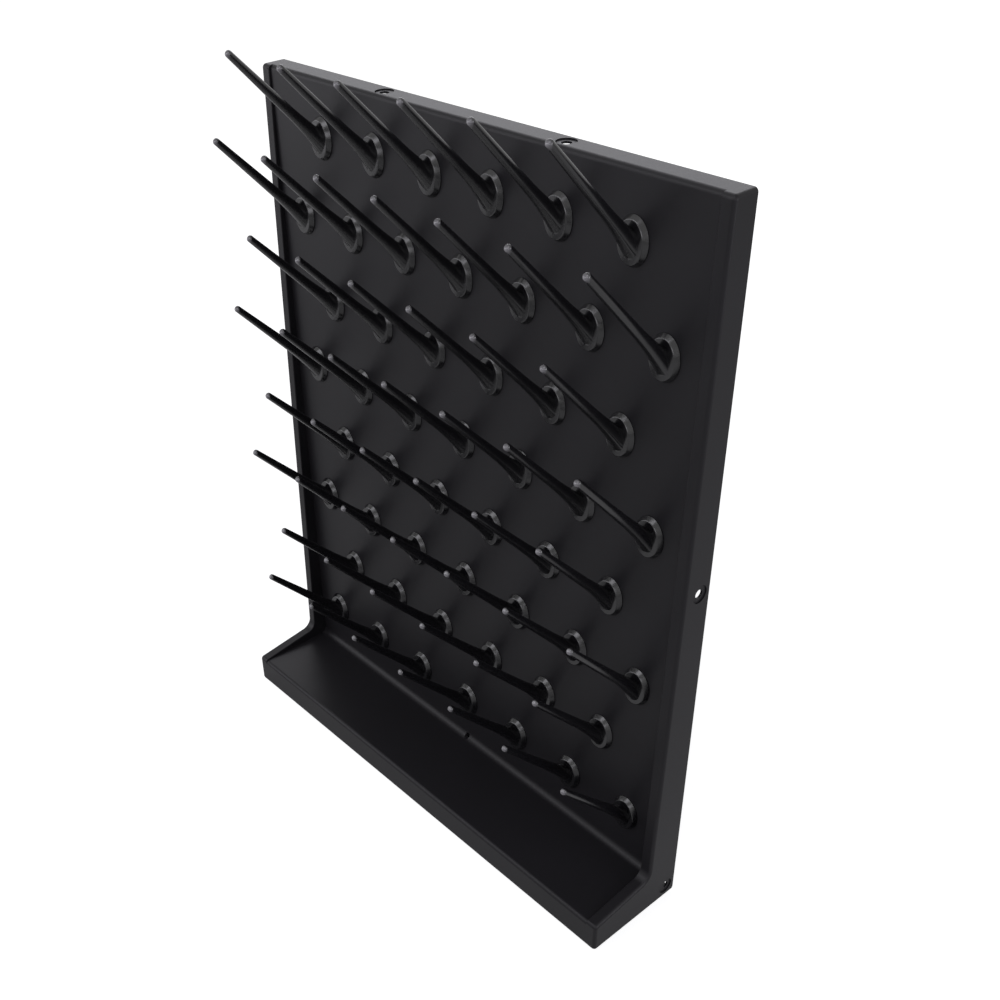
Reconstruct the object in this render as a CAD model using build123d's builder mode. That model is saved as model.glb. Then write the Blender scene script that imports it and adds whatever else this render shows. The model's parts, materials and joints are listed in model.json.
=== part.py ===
from build123d import *
from math import atan2, cos, degrees, pi, radians, sin
import os

# A drying rack for laboratory glassware: one moulded backboard with a drip tray at its foot,
# and staggered rows of removable pegs that slant upwards from sockets in its panel.
#
# Millimetres, +Z up, front towards -Y. The origin is on the bench, under the middle of the
# rack's overall box. A depth is measured forwards from the rim at the back of the board.

# ---- Driving dimensions: backboard ----
board_width = 550
board_height = 700
wall = 3
panel_depth = 22  # front of the pegged panel
lip_width = 12
lip_depth_top = 24  # the side lips lean, so the recess between them deepens to the foot
lip_depth_foot = 39.5
tray_depth = 113
tray_front_height = 33.5
lip_corner_height = 43.5  # where a tray lip meets the leaning side lip
lip_corner_radius = 12
floor_front_height = 32.3
floor_back_height = 31.3  # the floor falls back to the drain
floor_fillet = 8
outer_edge_radius = 3.5
front_edge_radius = 3
inner_edge_radius = 1

# ---- Driving dimensions: screw holes in the flanges ----
screw_hole_d = 8.5
screw_recess_d = 17
screw_recess_depth = 1.2
top_hole_x = 108
top_hole_depth = 10.5
side_hole_depth = 12
side_hole_heights = (14.5, 369)

# ---- Driving dimensions: ribs and drain ----
rib_thickness = 2
rib_height = 7
floor_rib_height = 6
floor_rib_spacing = 90
floor_rib_count = 6
drain_bore_d = 6
drain_boss_d = 14
drain_boss_length = 6
drain_spout_d = 10
drain_spout_end_depth = 5

# ---- Driving dimensions: pegs ----
peg_row_count = 8  # row 1 is at the top
wide_row_peg_count = 7  # in the even rows; the odd rows have one fewer
peg_side_margin = 36.5  # from the end pegs of a wide row to the side lips
peg_top_margin = 53
bottom_row_height = 87
peg_reach = 93  # from the panel to the foremost point of the tip
peg_angle = 46  # above the horizontal
peg_axis_rise = 1  # the rod's axis leaves the collar just above its middle
peg_root_run = 18  # the flare is drawn from this far behind the collar's face, and cut at the panel
peg_root_d = 22.8
peg_waist_run = 14
peg_waist_d = 12.4
peg_neck_run = 40
peg_neck_d = 9.6
peg_tip_d = 6.4
rod_sides = 10  # flat sides keep so many pegs light to mesh
collar_width = 30
collar_height = 40
collar_thickness = 5
collar_sides = 12
plug_width = 12
plug_length = 12
plug_clearance = 0.1
socket_wall = 2

# ---- Derived places ----
overall_depth = panel_depth + peg_reach
back_y = overall_depth / 2
panel_y = back_y - panel_depth
panel_back_y = panel_y + wall
tray_y = back_y - tray_depth
lip_top_y = back_y - lip_depth_top
lip_lean = (lip_depth_foot - lip_depth_top) / board_height
lip_corner_y = back_y - lip_depth_foot + lip_lean * lip_corner_height
recess_half_width = board_width / 2 - lip_width
core_half_width = board_width / 2 - wall
peg_pitch_x = 2 * (recess_half_width - peg_side_margin) / (wide_row_peg_count - 1)
peg_pitch_z = (board_height - peg_top_margin - bottom_row_height) / (peg_row_count - 1)
socket_width = plug_width + 2 * plug_clearance
clear = 10  # how far a cutting shape runs past the surface that it opens
tolerance = 0.001  # edges nearer than this to the rim plane lie on it


def row_pegs(row):
    """Number of pegs in a row, counted from the top."""
    return wide_row_peg_count if row % 2 == 0 else wide_row_peg_count - 1


def peg_seat(row, column):
    """Middle of a peg's collar on the front of the panel, as (x, z)."""
    x = (column - 1 - (row_pegs(row) - 1) / 2) * peg_pitch_x
    z = bottom_row_height + (peg_row_count - row) * peg_pitch_z
    return x, z


peg_places = [
    (row, column) for row in range(1, peg_row_count + 1) for column in range(1, row_pegs(row) + 1)
]
peg_seats = [peg_seat(row, column) for row, column in peg_places]
row_heights = [peg_seat(row, 1)[1] for row in range(1, peg_row_count + 1)]

top_screw_planes = [
    Plane(origin=(side * top_hole_x, back_y - top_hole_depth, board_height), z_dir=(0, 0, 1))
    for side in (-1, 1)
]
side_screw_planes = [
    Plane(origin=(side * board_width / 2, back_y - side_hole_depth, height), z_dir=(side, 0, 0))
    for side in (-1, 1)
    for height in side_hole_heights
]
screw_planes = top_screw_planes + side_screw_planes


# ---- Side view outlines, shared by the moulding and by the core that hollows it ----
def side_outline():
    """Board, leaning side lips and tray lips, as one closed outline."""
    with BuildSketch() as outline:
        with BuildLine():
            Polyline(
                (back_y, 0),
                (tray_y, 0),
                (tray_y, tray_front_height),
                (lip_corner_y, lip_corner_height),
                (lip_top_y, board_height),
                (back_y, board_height),
                close=True,
            )
        make_face()
        inner_corner = outline.vertices().sort_by_distance((lip_corner_y, lip_corner_height))[0]
        fillet(inner_corner, lip_corner_radius)
    return outline.sketch


def recess_outline():
    """Open space in front of the panel and above the tray floor."""
    with BuildSketch() as outline:
        with BuildLine():
            Polyline(
                (panel_y, board_height + clear),
                (panel_y, floor_back_height),
                (tray_y, floor_front_height),
                (tray_y - clear, floor_front_height),
                (tray_y - clear, board_height + clear),
                close=True,
            )
        make_face()
        foot_corner = outline.vertices().sort_by_distance((panel_y, floor_back_height))[0]
        fillet(foot_corner, floor_fillet)
    return outline.sketch


# ---- Core: the hollow behind the board, open at the back ----
with BuildPart() as core:
    with BuildSketch(Plane.YZ):
        add(side_outline())
        offset(amount=-wall, kind=Kind.INTERSECTION)
        with Locations((back_y, board_height / 2)):
            Rectangle(2 * wall, board_height - 2 * wall)
    extrude(amount=core_half_width, both=True)
    with BuildSketch(Plane.YZ):
        add(recess_outline())
        offset(amount=wall, kind=Kind.INTERSECTION)
    extrude(amount=recess_half_width + wall, both=True, mode=Mode.SUBTRACT)

# ---- Backboard ----
with BuildPart() as backboard:
    with BuildSketch(Plane.YZ):
        add(side_outline())
    extrude(amount=board_width / 2, both=True)
    side_faces = backboard.faces().filter_by(Axis.X)
    outer_edges = side_faces.edges().filter_by(lambda edge: edge.center().Y < back_y - tolerance)
    fillet(outer_edges, outer_edge_radius)

    with BuildSketch(Plane.YZ):
        add(recess_outline())
    extrude(amount=recess_half_width, both=True, mode=Mode.SUBTRACT)

    # Rounded edges where the lips drop to the recess, over the panel and along the tray's front
    corner_points = [(side * recess_half_width, lip_corner_y, lip_corner_height) for side in (-1, 1)]
    lip_edges = [backboard.edges().sort_by_distance(point)[0] for point in corner_points]
    fillet(lip_edges, inner_edge_radius)
    cross_edges = backboard.edges().filter_by(Axis.X)
    panel_top_edge = cross_edges.sort_by_distance((0, panel_y, board_height))[0]
    tray_front_edge = cross_edges.sort_by_distance((0, tray_y, floor_front_height))[0]
    fillet([panel_top_edge, tray_front_edge], front_edge_radius)
    add(core.part, mode=Mode.SUBTRACT)

    # Peg sockets with bosses behind the panel, and a stiffening rib between each two rows
    with BuildSketch(Plane.XZ.offset(-panel_back_y)):
        with Locations(*peg_seats):
            Rectangle(socket_width + 2 * socket_wall, socket_width + 2 * socket_wall)
        with Locations(*[(0, height + peg_pitch_z / 2) for height in row_heights[1:]]):
            Rectangle(2 * (recess_half_width + wall), rib_thickness)
    extrude(amount=-rib_height)
    with BuildSketch(Plane.XZ.offset(-panel_back_y - rib_height)):
        with Locations(*peg_seats):
            Rectangle(socket_width, socket_width)
    extrude(amount=wall + rib_height, mode=Mode.SUBTRACT)

    # Ribs under the tray floor, from the front wall back to the rim of the panel
    rib_xs = [(index - (floor_rib_count - 1) / 2) * floor_rib_spacing for index in range(floor_rib_count)]
    with BuildSketch(*[Plane.YZ.offset(x) for x in rib_xs]):
        with BuildLine():
            Polyline(
                (panel_back_y, floor_back_height - wall / 2),
                (tray_y + wall, floor_front_height - wall / 2),
                (tray_y + wall, floor_front_height - wall - floor_rib_height),
                (panel_back_y, floor_back_height - wall - floor_rib_height),
                close=True,
            )
        make_face()
    extrude(amount=rib_thickness / 2, both=True)

    # Drain through the foot of the panel, level with the lowest part of the floor
    drain_height = floor_back_height + drain_bore_d / 2
    for diameter, length in (
        (drain_boss_d, drain_boss_length),
        (drain_spout_d, panel_depth - drain_spout_end_depth),
    ):
        with BuildSketch(Plane.XZ.offset(-panel_y)):
            with Locations((0, drain_height)):
                Circle(diameter / 2)
        extrude(amount=-length)
    with BuildSketch(Plane.XZ.offset(-back_y)):
        with Locations((0, drain_height)):
            Circle(drain_bore_d / 2)
    extrude(amount=panel_depth + floor_fillet, mode=Mode.SUBTRACT)

    # Recessed screw holes in the top and side flanges
    with Locations(*screw_planes):
        CounterBoreHole(
            radius=screw_hole_d / 2,
            counter_bore_radius=screw_recess_d / 2,
            counter_bore_depth=screw_recess_depth,
            depth=wall,
        )

# ---- Peg: flared rod, collar and square plug, made about the middle of its seat ----
tip_radius = peg_tip_d / 2
rod_run = (peg_reach - collar_thickness - tip_radius) / cos(radians(peg_angle))
rod_stations = (
    (-peg_root_run, peg_root_d / 2),
    (peg_waist_run, peg_waist_d / 2),
    (peg_neck_run, peg_neck_d / 2),
    (rod_run, tip_radius),
    (rod_run + tip_radius * cos(radians(peg_angle)), tip_radius * sin(radians(peg_angle))),
)
rod_plane = Plane(
    origin=(0, -collar_thickness, peg_axis_rise),
    x_dir=(1, 0, 0),
    z_dir=Vector(0, -1, 0).rotate(Axis.X, -peg_angle),
)

with BuildPart() as peg:
    for (run, radius), (next_run, next_radius) in zip(rod_stations, rod_stations[1:]):
        with BuildSketch(rod_plane.offset(run)):
            RegularPolygon(radius, rod_sides, rotation=90)
        narrowing = (radius - next_radius) * cos(pi / rod_sides)
        extrude(amount=next_run - run, taper=degrees(atan2(narrowing, next_run - run)))
    split(bisect_by=Plane.XZ, keep=Keep.TOP)

    with BuildSketch(Plane.XZ):
        collar_turns = [2 * pi * index / collar_sides for index in range(collar_sides)]
        Polygon(*[(collar_width / 2 * cos(turn), collar_height / 2 * sin(turn)) for turn in collar_turns])
    extrude(amount=collar_thickness)

    with BuildSketch(Plane.XZ):
        Rectangle(plug_width, plug_width)
    extrude(amount=-plug_length)

# ---- Write each piece in its place ----
os.makedirs("parts", exist_ok=True)
backboard.part.label = "backboard"
export_step(backboard.part, "parts/backboard.step")

for (row, column), (seat_x, seat_z) in zip(peg_places, peg_seats):
    with BuildPart() as placed_peg:
        with Locations((seat_x, panel_y, seat_z)):
            add(peg.part)
    placed_peg.part.label = f"peg_r{row}_c{column}"
    export_step(placed_peg.part, f"parts/{placed_peg.part.label}.step")
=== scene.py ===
import json
from functools import partial
from math import cos, pi, radians, sin

import bmesh
import bpy
from mathutils import Matrix, Quaternion, Vector

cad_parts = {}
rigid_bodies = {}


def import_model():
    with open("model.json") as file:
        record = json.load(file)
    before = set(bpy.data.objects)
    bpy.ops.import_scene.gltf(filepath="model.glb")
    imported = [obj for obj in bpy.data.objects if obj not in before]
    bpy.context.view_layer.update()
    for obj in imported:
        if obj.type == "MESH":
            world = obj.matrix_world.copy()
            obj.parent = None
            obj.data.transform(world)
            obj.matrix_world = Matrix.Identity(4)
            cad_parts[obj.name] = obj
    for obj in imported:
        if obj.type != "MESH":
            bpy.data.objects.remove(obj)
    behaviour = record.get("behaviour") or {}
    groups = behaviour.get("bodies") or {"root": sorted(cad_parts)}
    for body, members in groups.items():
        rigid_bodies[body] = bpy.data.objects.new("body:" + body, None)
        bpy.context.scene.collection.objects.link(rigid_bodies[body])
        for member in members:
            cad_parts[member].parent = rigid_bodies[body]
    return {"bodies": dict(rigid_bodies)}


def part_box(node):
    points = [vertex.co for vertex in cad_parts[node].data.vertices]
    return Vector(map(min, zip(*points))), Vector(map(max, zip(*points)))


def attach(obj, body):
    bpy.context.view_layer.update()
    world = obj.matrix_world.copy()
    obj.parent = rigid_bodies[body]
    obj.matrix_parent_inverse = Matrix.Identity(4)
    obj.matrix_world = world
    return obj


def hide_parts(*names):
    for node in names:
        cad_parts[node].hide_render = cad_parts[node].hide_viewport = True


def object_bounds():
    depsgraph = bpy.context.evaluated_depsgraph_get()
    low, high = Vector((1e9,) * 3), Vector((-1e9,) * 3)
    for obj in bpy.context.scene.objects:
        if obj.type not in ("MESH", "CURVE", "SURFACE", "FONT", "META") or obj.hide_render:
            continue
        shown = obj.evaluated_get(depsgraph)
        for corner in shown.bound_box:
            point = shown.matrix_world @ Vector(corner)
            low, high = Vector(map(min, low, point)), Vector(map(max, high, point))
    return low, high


bl_info = {
    "name": "Laboratory drying rack",
    "version": (1, 0, 0),
    "blender": (4, 5, 0),
    "location": "3D View > Sidebar > Drying rack",
    "description": "Dresses a moulded drying rack: a backboard with a drip tray, and removable pegs",
    "category": "Object",
}


def seat_of(peg_name):
    """Row and column that a peg's name gives, from the top left."""
    return tuple(int(part[1:]) for part in peg_name.split("_")[1:])


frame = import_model()
cad_low, cad_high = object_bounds()
board_low, board_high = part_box("backboard")
peg_names = [name for name in frame["bodies"] if name.startswith("peg_")]
row_count = max(seat_of(name)[0] for name in peg_names)
wide_columns = max(seat_of(name)[1] for name in peg_names)
first_low, first_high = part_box("peg_r1_c1")
last_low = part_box(f"peg_r{row_count}_c1")[0]
second_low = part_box("peg_r1_c2")[0]

Length = partial(bpy.props.FloatProperty, unit="LENGTH", precision=4)
Turn = partial(bpy.props.FloatProperty, subtype="ANGLE", unit="ROTATION")
Share = partial(bpy.props.FloatProperty, subtype="FACTOR", min=0, max=1)
Power = partial(bpy.props.FloatProperty, unit="POWER")
Tint = partial(bpy.props.StringProperty, maxlen=7)


# ---- Sizes and finishes that a user would change ----
class BoardSizes(bpy.types.PropertyGroup):
    """Sizes of the one-piece backboard and tray."""

    wall: Length(name="Wall", description="Thickness of the moulding", default=0.003)
    panel_depth: Length(name="Panel depth", description="From the back rim to the panel", default=0.022)
    lip_width: Length(name="Lip width", description="Width of each side lip", default=0.012)
    lip_depth_top: Length(name="Lip depth, top", description="Side lip at the top", default=0.024)
    lip_depth_foot: Length(name="Lip depth, foot", description="Side lip at the foot", default=0.0395)
    tray_height: Length(name="Tray height", description="Top of the tray's front", default=0.0335)
    corner_height: Length(name="Corner height", description="Where the lips meet", default=0.0435)
    corner_radius: Length(name="Corner radius", description="Rounding of that corner", default=0.012)
    floor_front: Length(name="Floor, front", description="Height at the tray's front", default=0.0323)
    floor_back: Length(name="Floor, back", description="Height at the panel", default=0.0313)
    floor_fillet: Length(name="Floor fillet", description="Rounding from floor to panel", default=0.008)
    outer_radius: Length(name="Outer radius", description="Rounding of the outer edges", default=0.0035)
    front_radius: Length(name="Front radius", description="Lip's top, tray and front foot", default=0.004)
    top_radius: Length(name="Top radius", description="Over the panel", default=0.0045)
    foot_radius: Length(name="Foot radius", description="Low corner at the back rim", default=0.006)
    inner_radius: Length(name="Inner radius", description="Where the lips drop inwards", default=0.001)
    hole: Length(name="Screw hole", description="Diameter through a flange", default=0.0085)
    hole_recess: Length(name="Screw recess", description="Diameter of its recess", default=0.017)
    hole_sink: Length(name="Recess depth", description="Depth of the recess", default=0.0012)
    top_hole_x: Length(name="Top hole place", description="From the middle", default=0.108)
    top_hole_depth: Length(name="Top hole depth", description="From the back rim", default=0.0105)
    side_hole_depth: Length(name="Side hole depth", description="From the back rim", default=0.012)
    side_hole_low: Length(name="Low side hole", description="Above the bench", default=0.0145)
    side_hole_middle: Length(name="Middle side hole", description="Above the bench", default=0.369)
    rib_thickness: Length(name="Rib thickness", description="Ribs on the hidden side", default=0.002)
    rib_height: Length(name="Rib height", description="Ribs behind the panel", default=0.007)
    floor_rib_height: Length(name="Floor rib height", description="Ribs under the floor", default=0.006)
    floor_rib_spacing: Length(name="Floor rib spacing", description="Between two ribs", default=0.09)
    floor_rib_count: bpy.props.IntProperty(name="Floor ribs", description="Their number", default=6)
    drain_bore: Length(name="Drain bore", description="Diameter of the drain", default=0.006)
    drain_boss: Length(name="Drain boss", description="Shoulder behind the panel", default=0.014)
    drain_boss_length: Length(name="Boss length", description="From the panel's front", default=0.006)
    drain_spout: Length(name="Drain spout", description="Outer diameter", default=0.010)
    drain_end: Length(name="Spout end", description="From the back rim", default=0.005)
    socket: Length(name="Socket", description="Width of a peg's square hole", default=0.0122)
    socket_wall: Length(name="Socket wall", description="Wall of a socket's boss", default=0.002)


class PegSizes(bpy.types.PropertyGroup):
    """Sizes of one peg, from its seat on the panel."""

    angle: Turn(name="Angle", description="Rise of the rod above level", default=radians(46))
    axis_rise: Length(name="Axis rise", description="Rod's axis over the collar's middle", default=0.001)
    tip_radius: Length(name="Tip radius", description="Round end of the rod", default=0.0032)
    tip_crown: Length(name="Tip crown", description="Rise of the blunt end", default=0.0026)
    taper: Share(name="Taper", description="Radius gained for each unit of length", default=0.018)
    flare: Length(name="Flare", description="Radius that it adds at the collar", default=0.00273)
    flare_run: Length(name="Flare run", description="Length of the flare along the rod", default=0.044)
    root_run: Length(name="Root run", description="Rod's start behind the collar", default=0.018)
    collar_width: Length(name="Collar width", description="Oval collar, across", default=0.030)
    collar_height: Length(name="Collar height", description="Oval collar, upright", default=0.040)
    collar_thickness: Length(name="Collar thickness", description="From the panel", default=0.005)
    collar_slope: Length(name="Collar slope", description="How far its side slopes in", default=0.0033)
    plug_width: Length(name="Plug width", description="Square plug in the socket", default=0.012)
    plug_length: Length(name="Plug length", description="Behind the panel's face", default=0.012)
    plug_radius: Length(name="Plug rounding", description="Its edges", default=0.0008)


class Finishes(bpy.types.PropertyGroup):
    """Colours and gloss of the two mouldings."""

    board_colour: Tint(name="Board colour", description="sRGB hex", default="#181719")
    board_pale: Tint(name="Board streaks", description="sRGB hex of its flow marks", default="#1e1d20")
    board_roughness: Share(name="Board roughness", description="Satin", default=0.42)
    board_gloss: Share(name="Board gloss", description="Specular level, grained", default=0.2)
    peg_colour: Tint(name="Peg colour", description="sRGB hex", default="#0b0b0d")
    peg_pale: Tint(name="Peg rub", description="sRGB hex where glass has rubbed", default="#121114")
    # Painted highlight: the rod's end is coloured paler to this depth, standing in for the bright dot of
    # light at each tip.
    peg_tip_highlight: Tint(name="Brightened end", description="sRGB hex of the rod's rubbed end", default="#727074")
    tip_highlight_depth: Length(name="Brightened depth", description="How far back the end is rubbed", default=0.0035)
    peg_roughness: Share(name="Peg roughness", description="Semi-gloss", default=0.23)
    peg_gloss: Share(name="Peg gloss", description="Specular level, smooth", default=0.7)


class StageSettings(bpy.types.PropertyGroup):
    """Camera, floor and lamps."""

    camera_place: bpy.props.FloatVectorProperty(
        name="Camera place", description="From the foot of the back rim", unit="LENGTH",
        default=(0.7602, -0.6999, 0.9746),
    )
    azimuth: Turn(name="Azimuth", description="Of the camera, from the front", default=radians(51.09))
    elevation: Turn(name="Elevation", description="Of the camera, above level", default=radians(35.37))
    roll: Turn(name="Roll", description="Of the camera about its axis", default=radians(-2.57))
    lens: bpy.props.FloatProperty(name="Lens", description="Focal length", unit="CAMERA", default=44.56)
    shift: bpy.props.FloatVectorProperty(
        name="Shift", description="Of the camera's window", size=2, default=(0.0835, 0.0766)
    )
    floor_colour: Tint(name="Floor colour", description="sRGB hex", default="#a8a8a8")
    floor_size: Length(name="Floor size", description="Side of the floor", default=24)
    lamp_colour: Tint(name="Lamp colour", description="sRGB hex of daylight lamps", default="#f8f7ff")
    lamp_distance: Length(name="Lamp distance", description="From the rack's middle", default=2.1)
    sky: bpy.props.FloatProperty(name="Fill", description="Even light from all round", default=0.17)
    top: Power(name="Top", description="Long softbox overhead", default=9.5)
    front: Power(name="Front", description="Narrow softbox in front", default=10)
    near: Power(name="Near", description="Softbox on the camera's side", default=6)
    left: Power(name="Left", description="Low softbox in front, at the left", default=9)
    right: Power(name="Right", description="Low softbox at the right", default=14.5)
    rear: Power(name="Rear", description="Softbox behind, at the left", default=13.5)


# ---- What stays fixed ----
# Azimuth from the front and elevation, in degrees, then width and height in metres.
SOFTBOXES = {
    "top": (10, 62, 1.6, 0.6), "front": (-18, 35, 2.2, 0.35), "near": (45, 18, 1.0, 0.7),
    "left": (-50, 10, 1.2, 1.2), "right": (100, 10, 1.2, 1.2), "rear": (-139, 38, 1.8, 1.2),
}
SENSOR_WIDTH_MM = 36
PLASTIC_IOR = 1.49
# How far the grain moves the roughness, up and down.
GLOSS_SPREAD = 0.05
# Depth of the mould's grain, as a share of its width.
GRAIN_DEPTH = 0.1
# How suddenly the flare swells, and how blunt the tip is, as powers.
FLARE_CURVE, TIP_CURVE = 2.2, 0.7
# A collar's side from the panel to its face, as shares of its thickness and of its slope.
COLLAR_SIDE = ((0, 0), (0.12, 0), (0.18, 0.036), (0.86, 0.71), (0.96, 0.83), (1, 1))


# ---- Small helpers ----
def linear(colour):
    """An sRGB hex value as linear RGBA."""
    parts = [int(colour[place:place + 2], 16) / 255 for place in (1, 3, 5)]
    return (*[v / 12.92 if v <= 0.04045 else ((v + 0.055) / 1.055) ** 2.4 for v in parts], 1)


def add_node(tree, kind, inputs=None, **settings):
    """Adds a node, with its settings, and its inputs as values or as links from other sockets."""
    node = tree.nodes.new(kind)
    for name, value in settings.items():
        setattr(node, name, value)
    for socket, value in (inputs or {}).items():
        if isinstance(value, bpy.types.NodeSocket):
            tree.links.new(value, node.inputs[socket])
        else:
            node.inputs[socket].default_value = value
    return node


def make_object(name, mesh):
    piece = bpy.data.objects.new(name, mesh)
    bpy.context.scene.collection.objects.link(piece)
    return piece


def discard(piece):
    mesh = piece.data
    bpy.data.objects.remove(piece)
    bpy.data.meshes.remove(mesh)


def settle(piece):
    """Turns the piece's modifiers into its mesh."""
    evaluated = piece.evaluated_get(bpy.context.evaluated_depsgraph_get())
    mesh = bpy.data.meshes.new_from_object(evaluated)
    old = piece.data
    piece.modifiers.clear()
    piece.data = mesh
    bpy.data.meshes.remove(old)
    return piece


def combine(target, tool, operation):
    """Joins the tool to the target, or cuts it away, and discards the tool."""
    modifier = target.modifiers.new(operation, "BOOLEAN")
    modifier.operation = operation
    modifier.solver = "MANIFOLD"
    modifier.object = tool
    settle(target)
    discard(tool)
    return target


def object_from(name, bm):
    bmesh.ops.recalc_face_normals(bm, faces=bm.faces)
    mesh = bpy.data.meshes.new(name)
    bm.to_mesh(mesh)
    bm.free()
    return make_object(name, mesh)


def prism(name, outline, half_width):
    """A side view outline of (y, z) points, made solid to both sides of the middle."""
    bm = bmesh.new()
    near = [bm.verts.new((-half_width, y, z)) for y, z in outline]
    far = [bm.verts.new((half_width, y, z)) for y, z in outline]
    bm.faces.new(near)
    bm.faces.new(list(reversed(far)))
    for index in range(len(outline)):
        after = (index + 1) % len(outline)
        bm.faces.new((near[index], far[index], far[after], near[after]))
    return object_from(name, bm)


def block(name, low, high):
    """A rectangular block between two corners."""
    bm = bmesh.new()
    bmesh.ops.create_cube(bm, size=1)
    low, high = Vector(low), Vector(high)
    bmesh.ops.scale(bm, verts=bm.verts, vec=high - low)
    bmesh.ops.translate(bm, verts=bm.verts, vec=(low + high) / 2)
    return object_from(name, bm)


def round_bar(name, start, direction, length, diameter, sides=64):
    """A round bar from a point along a direction."""
    bm = bmesh.new()
    turn = Vector(direction).to_track_quat("Z", "Y").to_matrix().to_4x4()
    place = Matrix.Translation(Vector(start) + Vector(direction) * length / 2) @ turn
    radius = diameter / 2
    bmesh.ops.create_cone(
        bm, cap_ends=True, segments=sides, radius1=radius, radius2=radius, depth=length, matrix=place
    )
    return object_from(name, bm)


def stacked_rings(name, place, rings, sides):
    """A closed form through rings of (distance, half width, half height) along the place's Z axis."""
    bm = bmesh.new()
    turns = [2 * pi * index / sides for index in range(sides)]
    loops = [
        [bm.verts.new(place @ Vector((wide * cos(turn), tall * sin(turn), along))) for turn in turns]
        for along, wide, tall in rings
    ]
    for lower, upper in zip(loops, loops[1:]):
        for index in range(sides):
            after = (index + 1) % sides
            bm.faces.new((lower[index], lower[after], upper[after], upper[index]))
    bm.faces.new(list(reversed(loops[0])))
    bm.faces.new(loops[-1])
    return object_from(name, bm)


def rounded_corner(before, corner, after, radius, steps=12):
    """Points of the arc that rounds one corner of an outline."""
    corner = Vector(corner)
    to_before = (Vector(before) - corner).normalized()
    to_after = (Vector(after) - corner).normalized()
    half = to_before.angle(to_after) / 2
    middle = corner + (to_before + to_after).normalized() * radius / sin(half)
    first = corner + to_before * radius * cos(half) / sin(half) - middle
    last = corner + to_after * radius * cos(half) / sin(half) - middle
    sweep = first.angle_signed(last)
    turns = [-sweep * step / steps for step in range(steps + 1)]
    return [tuple(middle + Matrix.Rotation(turn, 2) @ first) for turn in turns]


def rounded_outline(corners):
    """An outline of (point, radius) corners; one without a radius stays sharp."""
    points = [point for point, _ in corners]
    outline = []
    for index, (point, radius) in enumerate(corners):
        after = points[(index + 1) % len(points)]
        outline += rounded_corner(points[index - 1], point, after, radius) if radius else [point]
    return outline


def inset(outline, distance):
    """The outline moved inwards by a distance, or outwards where it is negative."""
    area = sum(a[0] * b[1] - b[0] * a[1] for a, b in zip(outline, outline[1:] + outline[:1]))
    side = 1 if area > 0 else -1
    moved = []
    for index, point in enumerate(outline):
        here = Vector(point)
        arriving = (here - Vector(outline[index - 1])).normalized()
        leaving = (Vector(outline[(index + 1) % len(outline)]) - here).normalized()
        bisector = Vector((-arriving.y - leaving.y, arriving.x + leaving.x)) * side
        stretch = distance / (bisector.length / 2)
        moved.append(tuple(here + bisector.normalized() * stretch))
    return moved


def round_edges(piece, radius, is_rounded, segments):
    """Rounds every edge that the rule picks by one radius."""
    bm = bmesh.new()
    bm.from_mesh(piece.data)
    bm.normal_update()
    weights = bm.edges.layers.float.new("bevel_weight_edge")
    for edge in bm.edges:
        edge[weights] = 1 if is_rounded(edge) else 0
    bm.to_mesh(piece.data)
    bm.free()
    modifier = piece.modifiers.new("Rounding", "BEVEL")
    modifier.width = radius
    modifier.segments = segments
    modifier.limit_method = "WEIGHT"
    modifier.miter_outer = "MITER_ARC"
    settle(piece)
    piece.data.attributes.remove(piece.data.attributes["bevel_weight_edge"])
    return piece


def smooth(piece, sharp_angle):
    """Shades round stretches smoothly and keeps flat faces flat."""
    piece.data.shade_smooth()
    piece.data.set_sharp_from_angle(angle=sharp_angle)
    modifier = piece.modifiers.new("Flat faces", "WEIGHTED_NORMAL")
    modifier.keep_sharp = True
    return settle(piece)


def finish_with(piece, material):
    piece.data.materials.clear()
    piece.data.materials.append(material)
    for polygon in piece.data.polygons:
        polygon.material_index = 0


# ---- Geometry Nodes: what repeats ----
def new_tree(name, sockets):
    """An empty tree with named inputs, given as (name, kind), and one geometry output."""
    tree = bpy.data.node_groups.new(name, "GeometryNodeTree")
    for label, kind in sockets:
        tree.interface.new_socket(name=label, in_out="INPUT", socket_type=f"NodeSocket{kind}")
    tree.interface.new_socket(name="Geometry", in_out="OUTPUT", socket_type="NodeSocketGeometry")
    return tree, add_node(tree, "NodeGroupInput").outputs


def math_node(tree, operation, first, second):
    return add_node(tree, "ShaderNodeMath", {0: first, 1: second}, operation=operation).outputs[0]


def end_tree(tree, points, piece, material):
    """Sets the piece on each point, as real geometry with its material."""
    source = add_node(tree, "GeometryNodeObjectInfo", {"Object": piece})
    copies = add_node(
        tree, "GeometryNodeInstanceOnPoints", {"Points": points, "Instance": source.outputs["Geometry"]}
    )
    real = add_node(tree, "GeometryNodeRealizeInstances", {"Geometry": copies.outputs[0]})
    coloured = add_node(
        tree, "GeometryNodeSetMaterial", {"Geometry": real.outputs[0], "Material": material}
    )
    add_node(tree, "NodeGroupOutput", {"Geometry": coloured.outputs[0]})


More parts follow.
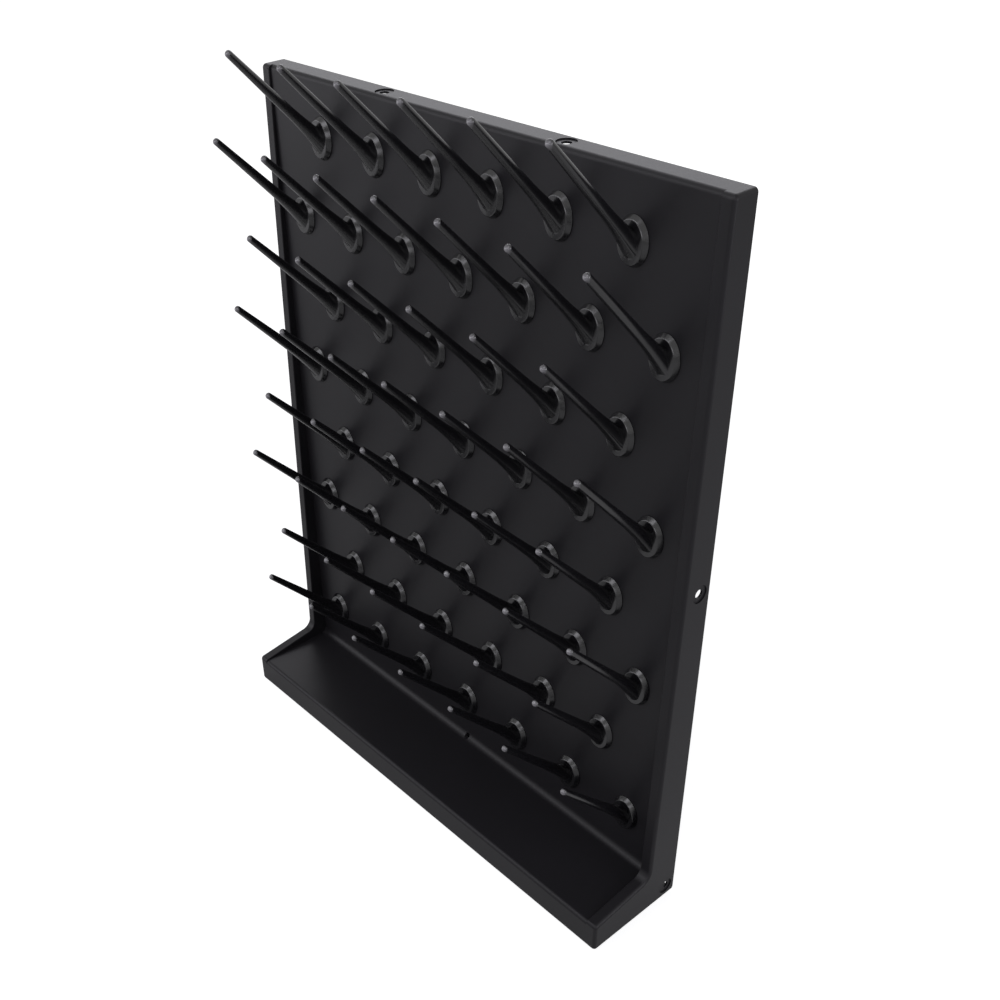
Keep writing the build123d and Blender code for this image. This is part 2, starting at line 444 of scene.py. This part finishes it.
def lattice_tree():
    """Staggered seats: wide rows alternate with rows that have one seat fewer, narrow at the top."""
    tree, given = new_tree("Staggered seats", (
        ("Piece", "Object"), ("Rows", "Int"), ("Wide row", "Int"), ("Pitch across", "Float"),
        ("Pitch up", "Float"), ("Lowest row", "Float"), ("Depth", "Float"), ("Only seat", "Int"),
        ("Material", "Material"),
    ))
    index = add_node(tree, "GeometryNodeInputIndex").outputs[0]
    wide = given["Wide row"]
    share = math_node(tree, "DIVIDE", math_node(tree, "ADD", index, 0.5), wide)
    row = math_node(tree, "FLOOR", share, 0)
    column = math_node(tree, "SUBTRACT", index, math_node(tree, "MULTIPLY", row, wide))
    narrow = math_node(tree, "SUBTRACT", 1, math_node(tree, "MODULO", row, 2))
    middle = math_node(tree, "DIVIDE", math_node(tree, "SUBTRACT", wide, 1), 2)
    stagger = math_node(tree, "MULTIPLY", narrow, 0.5)
    steps = math_node(tree, "ADD", math_node(tree, "SUBTRACT", column, middle), stagger)
    across = math_node(tree, "MULTIPLY", steps, given["Pitch across"])
    rows_up = math_node(tree, "SUBTRACT", math_node(tree, "SUBTRACT", given["Rows"], 1), row)
    rise = math_node(tree, "MULTIPLY", rows_up, given["Pitch up"])
    height = math_node(tree, "ADD", rise, given["Lowest row"])
    place = add_node(tree, "ShaderNodeCombineXYZ", {"X": across, "Y": given["Depth"], "Z": height})
    count = math_node(tree, "MULTIPLY", given["Rows"], wide)
    points = add_node(tree, "GeometryNodePoints", {"Count": count, "Position": place.outputs[0]})
    last_seat = math_node(tree, "SUBTRACT", wide, 0.5)
    past_end = math_node(tree, "GREATER_THAN", math_node(tree, "ADD", column, narrow), last_seat)
    one_only = math_node(tree, "GREATER_THAN", given["Only seat"], -0.5)
    distance = math_node(tree, "ABSOLUTE", math_node(tree, "SUBTRACT", index, given["Only seat"]), 0)
    other = math_node(tree, "MULTIPLY", one_only, math_node(tree, "GREATER_THAN", distance, 0.5))
    unwanted = math_node(tree, "MAXIMUM", past_end, other)
    kept = add_node(
        tree, "GeometryNodeDeleteGeometry", {"Geometry": points.outputs[0], "Selection": unwanted},
        domain="POINT",
    )
    end_tree(tree, kept.outputs[0], given["Piece"], given["Material"])
    return tree


def rib_tree():
    """Equal ribs in a straight row."""
    tree, given = new_tree("Row of ribs", (
        ("Piece", "Object"), ("Count", "Int"), ("First", "Vector"), ("Step", "Vector"),
        ("Material", "Material"),
    ))
    line = add_node(
        tree, "GeometryNodeMeshLine",
        {"Count": given["Count"], "Start Location": given["First"], "Offset": given["Step"]},
    )
    end_tree(tree, line.outputs[0], given["Piece"], given["Material"])
    return tree


def grow(name, tree, values):
    """Runs a tree on its own and returns its result as a plain mesh object."""
    piece = make_object(name, bpy.data.meshes.new(name))
    modifier = piece.modifiers.new(tree.name, "NODES")
    modifier.node_group = tree
    for socket in tree.interface.items_tree:
        if socket.in_out == "INPUT":
            modifier[socket.identifier] = values[socket.name]
    return settle(piece)


def seat_values(piece, depth, material, only=-1):
    """The rack's own seats, read from the pegs of the frame."""
    return {
        "Piece": piece, "Rows": row_count, "Wide row": wide_columns,
        "Pitch across": second_low.x - first_low.x,
        "Pitch up": (first_low.z - last_low.z) / (row_count - 1),
        "Lowest row": last_low.z + bpy.context.scene.rack_peg.collar_height / 2,
        "Depth": depth, "Only seat": only, "Material": material,
    }


# ---- Materials ----
def moulded_plastic(name, colour, pale, roughness, gloss_level, grain, flow, relief, painted_tip=None):
    """Black plastic: flow marks in its colour, and a fine grain in its gloss and relief. Where the
    last argument gives a colour and two depths, it is painted that colour from the first to the second: a
    painted highlight."""
    material = bpy.data.materials.new(name)
    material.use_nodes = True
    tree = material.node_tree
    tree.nodes.clear()
    place = add_node(tree, "ShaderNodeTexCoord").outputs["Object"]
    marks = add_node(tree, "ShaderNodeTexNoise", {"Vector": place, "Scale": 1 / flow, "Detail": 3})
    shade = add_node(
        tree, "ShaderNodeMix", {"Factor": marks.outputs["Fac"], 6: linear(colour), 7: linear(pale)},
        data_type="RGBA",
    )
    # Painted highlight: the colour turns paler towards the rod's end, over the given depth.
    if painted_tip:
        painted_tip_colour, start, end = painted_tip
        depth = add_node(tree, "ShaderNodeSeparateXYZ", {"Vector": place}).outputs["Y"]
        marked = add_node(
            tree, "ShaderNodeMapRange", {"Value": depth, "From Min": start, "From Max": end}
        ).outputs[0]
        shade = add_node(
            tree, "ShaderNodeMix", {"Factor": marked, 6: shade.outputs[2], 7: linear(painted_tip_colour)},
            data_type="RGBA",
        )
    speckle = add_node(tree, "ShaderNodeTexNoise", {"Vector": place, "Scale": 1 / grain, "Detail": 2})
    gloss = add_node(tree, "ShaderNodeMapRange", {
        "Value": speckle.outputs["Fac"],
        "To Min": roughness - GLOSS_SPREAD, "To Max": roughness + GLOSS_SPREAD,
    })
    relief_node = add_node(tree, "ShaderNodeBump", {
        "Height": speckle.outputs["Fac"], "Strength": relief, "Distance": grain * GRAIN_DEPTH,
    })
    surface = add_node(tree, "ShaderNodeBsdfPrincipled", {
        "Base Color": shade.outputs[2], "Roughness": gloss.outputs[0], "IOR": PLASTIC_IOR,
        "Specular IOR Level": gloss_level, "Normal": relief_node.outputs[0],
    })
    add_node(tree, "ShaderNodeOutputMaterial", {"Surface": surface.outputs[0]})
    return material


def board_polypropylene():
    """Injection-moulded polypropylene off a spark-eroded mould: black, satin, with a soft wide
    sheen. The mould's grain is 0.3 mm and is drawn at 0.9 mm, so that it shows."""
    finishes = bpy.context.scene.rack_finish
    return moulded_plastic(
        "Satin black polypropylene", finishes.board_colour, finishes.board_pale,
        finishes.board_roughness, finishes.board_gloss, grain=0.0009, flow=0.12, relief=0.25,
    )


def peg_polypropylene():
    """Polypropylene off a smooth mould: deep black with a sharper highlight along the rod, and
    faint rubs from the glassware; the rod's end is painted paler, a painted highlight at the tip. The
    grain is 0.5 mm."""
    finishes = bpy.context.scene.rack_finish
    tip = first_low.y
    # The last few millimetres of the rod are painted paler: a painted highlight at the tip.
    painted_tip = (finishes.peg_tip_highlight, tip + finishes.tip_highlight_depth, tip)
    return moulded_plastic(
        "Semi-gloss black polypropylene", finishes.peg_colour, finishes.peg_pale,
        finishes.peg_roughness, finishes.peg_gloss, grain=0.0005, flow=0.02, relief=0.1, painted_tip=painted_tip,
    )


# ---- Backboard ----
def panel_front():
    return board_high.y - bpy.context.scene.rack_board.panel_depth


def lip_corners(sizes):
    """Tray's front edge, the corner of tray lip and side lip, and the lip's top, from the side."""
    back, top = board_high.y, board_high.z
    lean = (sizes.lip_depth_foot - sizes.lip_depth_top) / top
    corner = (back - sizes.lip_depth_foot + lean * sizes.corner_height, sizes.corner_height)
    return (board_low.y, sizes.tray_height), corner, (back - sizes.lip_depth_top, top)


def side_outline(sizes):
    """Board, leaning side lips and tray lips, from the side."""
    tray_edge, corner, lip_top = lip_corners(sizes)
    return rounded_outline((
        ((board_high.y, 0), 0), ((board_low.y, 0), sizes.front_radius),
        (tray_edge, sizes.front_radius), (corner, sizes.corner_radius), (lip_top, sizes.front_radius),
        ((board_high.y, board_high.z), 0),
    ))


def recess_outline(sizes, grown=0):
    """Open space in front of the panel and over the tray floor, from the side. Grown by a wall,
    it has no rounding over the panel or along the tray's front."""
    back, front, top = board_high.y, board_low.y, board_high.z
    above, ahead = top + sizes.panel_depth, front - sizes.panel_depth
    panel_top, foot = (panel_front(), top), (panel_front(), sizes.floor_back)
    floor_end = (front, sizes.floor_front)
    fillet = rounded_corner(panel_top, foot, floor_end, sizes.floor_fillet)
    if grown:
        ends = (floor_end, (ahead, sizes.floor_front), (ahead, above))
        return inset([(panel_front(), above), *fillet, *ends], -grown)
    over_panel = rounded_corner((back, top), panel_top, foot, sizes.top_radius)
    over_front = rounded_corner(foot, floor_end, (front, 0), sizes.front_radius)
    ends = ((ahead, over_front[-1][1]), (ahead, above))
    return [(over_panel[0][0], above), *over_panel, *fillet, *over_front, *ends]


def lip_rounding(sizes, side):
    """What the rounding takes off the inner edge of one side's lips, from tray front to top."""
    tray_edge, corner, lip_top = (Vector(point) for point in lip_corners(sizes))
    beyond = sizes.panel_depth
    first = tray_edge + (tray_edge - corner).normalized() * beyond
    last = lip_top + (lip_top - corner).normalized() * beyond
    path = [tuple(first), *rounded_corner(first, corner, last, sizes.corner_radius), tuple(last)]
    closed = [*path, (board_high.y, last.y), (board_high.y, first.y)]
    radius, steps, clear = sizes.inner_radius, 6, sizes.wall
    turns = [pi / 2 * step / steps for step in range(steps + 1)]
    profile = [(radius * (1 - cos(turn)), radius * (1 - sin(turn))) for turn in turns]
    profile = [(-clear, radius), *profile, (radius, -clear), (-clear, -clear)]
    wall_face = board_high.x - sizes.lip_width
    bm = bmesh.new()
    rails = [
        [bm.verts.new((side * (wall_face + into), *point)) for point in inset(closed, deep)[:len(path)]]
        for into, deep in profile
    ]
    for rail, beside in zip(rails, rails[1:] + rails[:1]):
        for index in range(len(path) - 1):
            bm.faces.new((rail[index], beside[index], beside[index + 1], rail[index + 1]))
    bm.faces.new([rail[0] for rail in rails])
    bm.faces.new([rail[-1] for rail in rails])
    return object_from("lip_rounding", bm)


def shell(sizes):
    """The outer form with its rounded edges, before it is hollowed."""
    back, clear, near = board_high.y, sizes.wall, sizes.wall / 100

    def on_side(edge):
        one, two = (corner.co for corner in edge.verts)
        across = abs(one.x - two.x) > near
        on_rim = min(one.y, two.y) > back - near
        return not across and not on_rim

    body = prism("backboard_moulding", side_outline(sizes), board_high.x)
    round_edges(body, sizes.outer_radius, on_side, segments=6)
    foot = rounded_corner((board_low.y, 0), (back, 0), (back, board_high.z), sizes.foot_radius)
    behind = back + clear
    under = [*foot, (behind, foot[-1][1]), (behind, -clear), (foot[0][0], -clear)]
    combine(body, prism("under_foot", under, board_high.x + clear), "DIFFERENCE")
    recess_half = board_high.x - sizes.lip_width
    combine(body, prism("recess", recess_outline(sizes), recess_half), "DIFFERENCE")
    for side in (-1, 1):
        combine(body, lip_rounding(sizes, side), "DIFFERENCE")
    return body


def hollow(sizes):
    """The space behind the shell, one wall inside it and open at the back."""
    inner = inset(side_outline(sizes), sizes.wall)
    back = board_high.y
    opened = [(back + sizes.wall if y > back - 2 * sizes.wall else y, z) for y, z in inner]
    space = prism("hollow", opened, board_high.x - sizes.wall)
    grown = recess_outline(sizes, sizes.wall)
    recess_half = board_high.x - sizes.lip_width + sizes.wall
    return combine(space, prism("grown_recess", grown, recess_half), "DIFFERENCE")


def add_ribs(body, sizes, material):
    """Socket bosses, ribs between the rows of pegs and under the floor, and the sockets themselves."""
    wall, skin = sizes.wall, sizes.wall / 2
    panel_back = panel_front() + wall
    half = sizes.socket / 2 + sizes.socket_wall
    lattice = lattice_tree()
    rows = rib_tree()
    boss = block("boss", (-half, -skin, -half), (half, sizes.rib_height, half))
    seats = grow("bosses", lattice, seat_values(boss, panel_back, material))
    discard(boss)
    combine(body, seats, "UNION")

    values = seat_values(None, 0, material)
    rib_half = board_high.x - sizes.lip_width + skin
    thick = sizes.rib_thickness / 2
    rib = block("rib", (-rib_half, -skin, -thick), (rib_half, sizes.rib_height, thick))
    first = (0, panel_back, values["Lowest row"] + values["Pitch up"] / 2)
    across = {
        "Piece": rib, "Count": row_count - 1, "First": first, "Step": (0, 0, values["Pitch up"]),
        "Material": material,
    }
    combine(body, grow("panel_ribs", rows, across), "UNION")
    discard(rib)

    low = -wall - sizes.floor_rib_height
    front, back = board_low.y + skin, panel_front() + wall
    outline = [
        (back, sizes.floor_back - skin), (front, sizes.floor_front - skin),
        (front, sizes.floor_front + low), (back, sizes.floor_back + low),
    ]
    floor_rib = prism("floor_rib", outline, thick)
    start = -(sizes.floor_rib_count - 1) / 2 * sizes.floor_rib_spacing
    under = {
        "Piece": floor_rib, "Count": sizes.floor_rib_count, "First": (start, 0, 0),
        "Step": (sizes.floor_rib_spacing, 0, 0), "Material": material,
    }
    combine(body, grow("floor_ribs", rows, under), "UNION")
    discard(floor_rib)

    half = sizes.socket / 2
    hole = block("hole", (-half, -wall, -half), (half, wall + 2 * sizes.rib_height, half))
    holes = grow("sockets", lattice, seat_values(hole, panel_front(), material))
    discard(hole)
    return combine(body, holes, "DIFFERENCE")


def add_drain(body, sizes):
    """Spout behind the foot of the panel, bored through to the tray."""
    height = sizes.floor_back + sizes.drain_bore / 2
    start = panel_front() + sizes.wall / 2
    boss_end = panel_front() + sizes.drain_boss_length
    spout_end = board_high.y - sizes.drain_end
    back = Vector((0, 1, 0))
    for end, diameter in ((boss_end, sizes.drain_boss), (spout_end, sizes.drain_spout)):
        combine(body, round_bar("spout", (0, start, height), back, end - start, diameter), "UNION")
    bore_start = panel_front() - sizes.floor_fillet
    length = board_high.y - bore_start
    return combine(
        body, round_bar("bore", (0, bore_start, height), back, length, sizes.drain_bore), "DIFFERENCE"
    )


def add_screw_holes(body, sizes):
    """Recessed holes through the top and side flanges."""
    top, half, back = board_high.z, board_high.x, board_high.y
    places = []
    for side in (-1, 1):
        places.append(((side * sizes.top_hole_x, back - sizes.top_hole_depth, top), (0, 0, 1)))
    for side in (-1, 1):
        for height in (sizes.side_hole_low, sizes.side_hole_middle):
            places.append(((side * half, back - sizes.side_hole_depth, height), (side, 0, 0)))
    for face, outward in places:
        outward = Vector(outward)
        for sink, diameter in ((sizes.hole_sink, sizes.hole_recess), (2 * sizes.wall, sizes.hole)):
            start = Vector(face) - outward * sink
            cutter = round_bar("screw_hole", start, outward, sink + sizes.wall, diameter)
            combine(body, cutter, "DIFFERENCE")
    return body


# ---- Peg ----
def rod_radius(sizes, run, length):
    """A slow taper to the tip, and a flare that swells towards the root."""
    flare = max(0, 1 - run / sizes.flare_run) ** FLARE_CURVE
    return sizes.tip_radius + sizes.taper * (length - run) + sizes.flare * flare


def make_peg(sizes):
    """Rod, collar and plug as one moulding, about the middle of its seat."""
    reach = first_high.y - sizes.plug_length - first_low.y
    length = (reach - sizes.collar_thickness - sizes.tip_radius) / cos(sizes.angle)
    direction = Vector((0, -cos(sizes.angle), sin(sizes.angle)))
    start = Vector((0, -sizes.collar_thickness, sizes.axis_rise))
    place = Matrix.Translation(start) @ direction.to_track_quat("Z", "Y").to_matrix().to_4x4()
    steps, tip_steps = 40, 8
    runs = [-sizes.root_run + (length + sizes.root_run) * step / steps for step in range(steps + 1)]
    rings = [(run, rod_radius(sizes, run, length)) for run in runs]
    for step in range(1, tip_steps):
        turn = pi / 2 * step / tip_steps
        along = length + sizes.tip_crown * sin(turn)
        rings.append((along, sizes.tip_radius * cos(turn) ** TIP_CURVE))
    rod = stacked_rings("peg_rod", place, [(run, radius, radius) for run, radius in rings], sides=32)
    behind = block("behind", (-reach, 0, -reach), (reach, reach, reach))
    combine(rod, behind, "DIFFERENCE")

    face = Matrix.Rotation(pi / 2, 4, "X")
    wide, tall = sizes.collar_width / 2, sizes.collar_height / 2
    oval = []
    for rise, inward in COLLAR_SIDE:
        slope = sizes.collar_slope * inward
        oval.append((sizes.collar_thickness * rise, wide - slope, tall - slope))
    combine(rod, stacked_rings("collar", face, oval, sides=64), "UNION")

    half = sizes.plug_width / 2
    overlap = sizes.collar_thickness / 2
    plug = block("plug", (-half, -overlap, -half), (half, sizes.plug_length, half))
    round_edges(plug, sizes.plug_radius, lambda edge: True, segments=3)
    return combine(rod, plug, "UNION")


# ---- Stage ----
def floor_material(
    colour, near_glow=0.84, near_mirror=0.3, far_mirror=0.36, sweep_start=0.9, sweep_end=2.4
):
    """Matt paint of a studio floor, with a glow that grows further off, where the floor would
    sweep up to a lit backdrop: white to the camera, and a dim white in reflections."""
    material = bpy.data.materials.new("Matt studio floor paint")
    material.use_nodes = True
    tree = material.node_tree
    tree.nodes.clear()
    paint = add_node(tree, "ShaderNodeBsdfDiffuse", {"Color": linear(colour)})
    place = add_node(tree, "ShaderNodeTexCoord").outputs["Object"]
    away = add_node(tree, "ShaderNodeVectorMath", {0: place}, operation="LENGTH").outputs["Value"]
    sweep = {"Value": away, "From Min": sweep_start, "From Max": sweep_end}
    glow_level = add_node(tree, "ShaderNodeMapRange", {**sweep, "To Min": near_glow}).outputs[0]
    mirror_level = add_node(
        tree, "ShaderNodeMapRange", {**sweep, "To Min": near_mirror, "To Max": far_mirror}
    ).outputs[0]
    rays = add_node(tree, "ShaderNodeLightPath").outputs
    mirrored = math_node(tree, "MAXIMUM", rays["Is Glossy Ray"], rays["Is Transmission Ray"])
    seen = math_node(tree, "MULTIPLY", rays["Is Camera Ray"], glow_level)
    strength = math_node(tree, "MAXIMUM", seen, math_node(tree, "MULTIPLY", mirrored, mirror_level))
    glow = add_node(tree, "ShaderNodeEmission", {"Strength": strength})
    both = add_node(tree, "ShaderNodeAddShader", {0: paint.outputs[0], 1: glow.outputs[0]})
    add_node(tree, "ShaderNodeOutputMaterial", {"Surface": both.outputs[0]})
    return material


def white_surroundings(fill, mirror_level=0.8):
    """White to the camera, a little darker in reflections, and a soft even fill on everything else."""
    world = bpy.data.worlds.new("White surroundings")
    world.use_nodes = True
    tree = world.node_tree
    tree.nodes.clear()
    rays = add_node(tree, "ShaderNodeLightPath").outputs
    mirrored = math_node(tree, "MAXIMUM", rays["Is Glossy Ray"], rays["Is Transmission Ray"])
    seen = math_node(
        tree, "MAXIMUM", rays["Is Camera Ray"], math_node(tree, "MULTIPLY", mirrored, mirror_level)
    )
    strength = math_node(tree, "MAXIMUM", seen, fill)
    light = add_node(tree, "ShaderNodeBackground", {"Color": (1, 1, 1, 1), "Strength": strength})
    add_node(tree, "ShaderNodeOutputWorld", {"Surface": light.outputs[0]})
    bpy.context.scene.world = world


def towards(azimuth, elevation):
    """Direction of an azimuth, turned from the front to the right, and an elevation."""
    level = cos(elevation)
    return Vector((sin(azimuth) * level, -cos(azimuth) * level, sin(elevation)))


def softbox(name, azimuth, elevation, width, height, power):
    """A rectangular lamp that faces the rack's middle from a direction, given in degrees."""
    away = towards(radians(azimuth), radians(elevation))
    lamp = bpy.data.lights.new(f"{name}_softbox", "AREA")
    lamp.shape = "RECTANGLE"
    lamp.size, lamp.size_y = width, height
    lamp.energy = power
    lamp.color = linear(bpy.context.scene.rack_stage.lamp_colour)[:3]
    holder = bpy.data.objects.new(lamp.name, lamp)
    holder.location = (cad_low + cad_high) / 2 + away * bpy.context.scene.rack_stage.lamp_distance
    holder.rotation_euler = (-away).to_track_quat("-Z", "Y").to_euler()
    bpy.context.scene.collection.objects.link(holder)


class RACK_OT_set_stage(bpy.types.Operator):
    """Lay the floor, hang the lamps and set the camera."""

    bl_idname = "rack.set_stage"
    bl_label = "Set the stage"

    def execute(self, context):
        stage = context.scene.rack_stage
        context.scene.view_settings.view_transform = "Standard"
        half = stage.floor_size / 2
        bm = bmesh.new()
        corners = ((-half, -half), (half, -half), (half, half), (-half, half))
        bm.faces.new([bm.verts.new((x, y, 0)) for x, y in corners])
        floor = object_from("studio_floor", bm)
        finish_with(floor, floor_material(stage.floor_colour))
        white_surroundings(stage.sky)
        for name, placed in SOFTBOXES.items():
            softbox(name, *placed, getattr(stage, name))

        camera = bpy.data.cameras.new("camera")
        camera.lens = stage.lens
        camera.sensor_width = SENSOR_WIDTH_MM
        camera.shift_x, camera.shift_y = stage.shift
        holder = bpy.data.objects.new("camera", camera)
        away = towards(stage.azimuth, stage.elevation)
        turn = (-away).to_track_quat("-Z", "Y") @ Quaternion((0, 0, 1), stage.roll)
        holder.rotation_mode = "QUATERNION"
        holder.rotation_quaternion = turn
        holder.location = Vector((0, board_high.y, 0)) + Vector(stage.camera_place)
        context.scene.collection.objects.link(holder)
        context.scene.camera = holder
        return {"FINISHED"}


class RACK_OT_mould_backboard(bpy.types.Operator):
    """Make the one-piece backboard with its tray, sockets and ribs."""

    bl_idname = "rack.mould_backboard"
    bl_label = "Mould the backboard"

    def execute(self, context):
        sizes = context.scene.rack_board
        material = board_polypropylene()
        body = combine(shell(sizes), hollow(sizes), "DIFFERENCE")
        add_ribs(body, sizes, material)
        add_drain(body, sizes)
        add_screw_holes(body, sizes)
        smooth(body, sharp_angle=radians(35))
        finish_with(body, material)
        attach(body, "board")
        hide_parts("backboard")
        return {"FINISHED"}


class RACK_OT_mould_pegs(bpy.types.Operator):
    """Make one peg, and set a copy in each socket."""

    bl_idname = "rack.mould_pegs"
    bl_label = "Mould the pegs"

    def execute(self, context):
        material = peg_polypropylene()
        pattern = smooth(make_peg(context.scene.rack_peg), sharp_angle=radians(40))
        lattice = lattice_tree()
        for name in peg_names:
            row, column = seat_of(name)
            only = (row - 1) * wide_columns + column - 1
            peg = grow(f"{name}_moulding", lattice, seat_values(pattern, panel_front(), material, only))
            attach(peg, name)
            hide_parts(name)
        discard(pattern)
        return {"FINISHED"}


class RACK_PT_panel(bpy.types.Panel):
    """Sizes, finishes and steps of the drying rack."""

    bl_label = "Drying rack"
    bl_idname = "RACK_PT_panel"
    bl_space_type = "VIEW_3D"
    bl_region_type = "UI"
    bl_category = "Drying rack"

    def draw(self, context):
        for place, group in groups.items():
            box = self.layout.box()
            for name in group.__annotations__:
                box.prop(getattr(context.scene, place), name)
        for operator in operators:
            self.layout.operator(operator.bl_idname)


groups = {
    "rack_board": BoardSizes, "rack_peg": PegSizes, "rack_finish": Finishes, "rack_stage": StageSettings,
}
operators = (RACK_OT_set_stage, RACK_OT_mould_backboard, RACK_OT_mould_pegs)
classes = (*groups.values(), *operators, RACK_PT_panel)


def register():
    for kind in classes:
        bpy.utils.register_class(kind)
    for name, group in groups.items():
        setattr(bpy.types.Scene, name, bpy.props.PointerProperty(type=group))


def unregister():
    for name in groups:
        delattr(bpy.types.Scene, name)
    for kind in reversed(classes):
        bpy.utils.unregister_class(kind)


def main():
    register()
    bpy.ops.rack.set_stage()
    bpy.ops.rack.mould_backboard()
    bpy.ops.rack.mould_pegs()


if __name__ == "__main__":
    main()
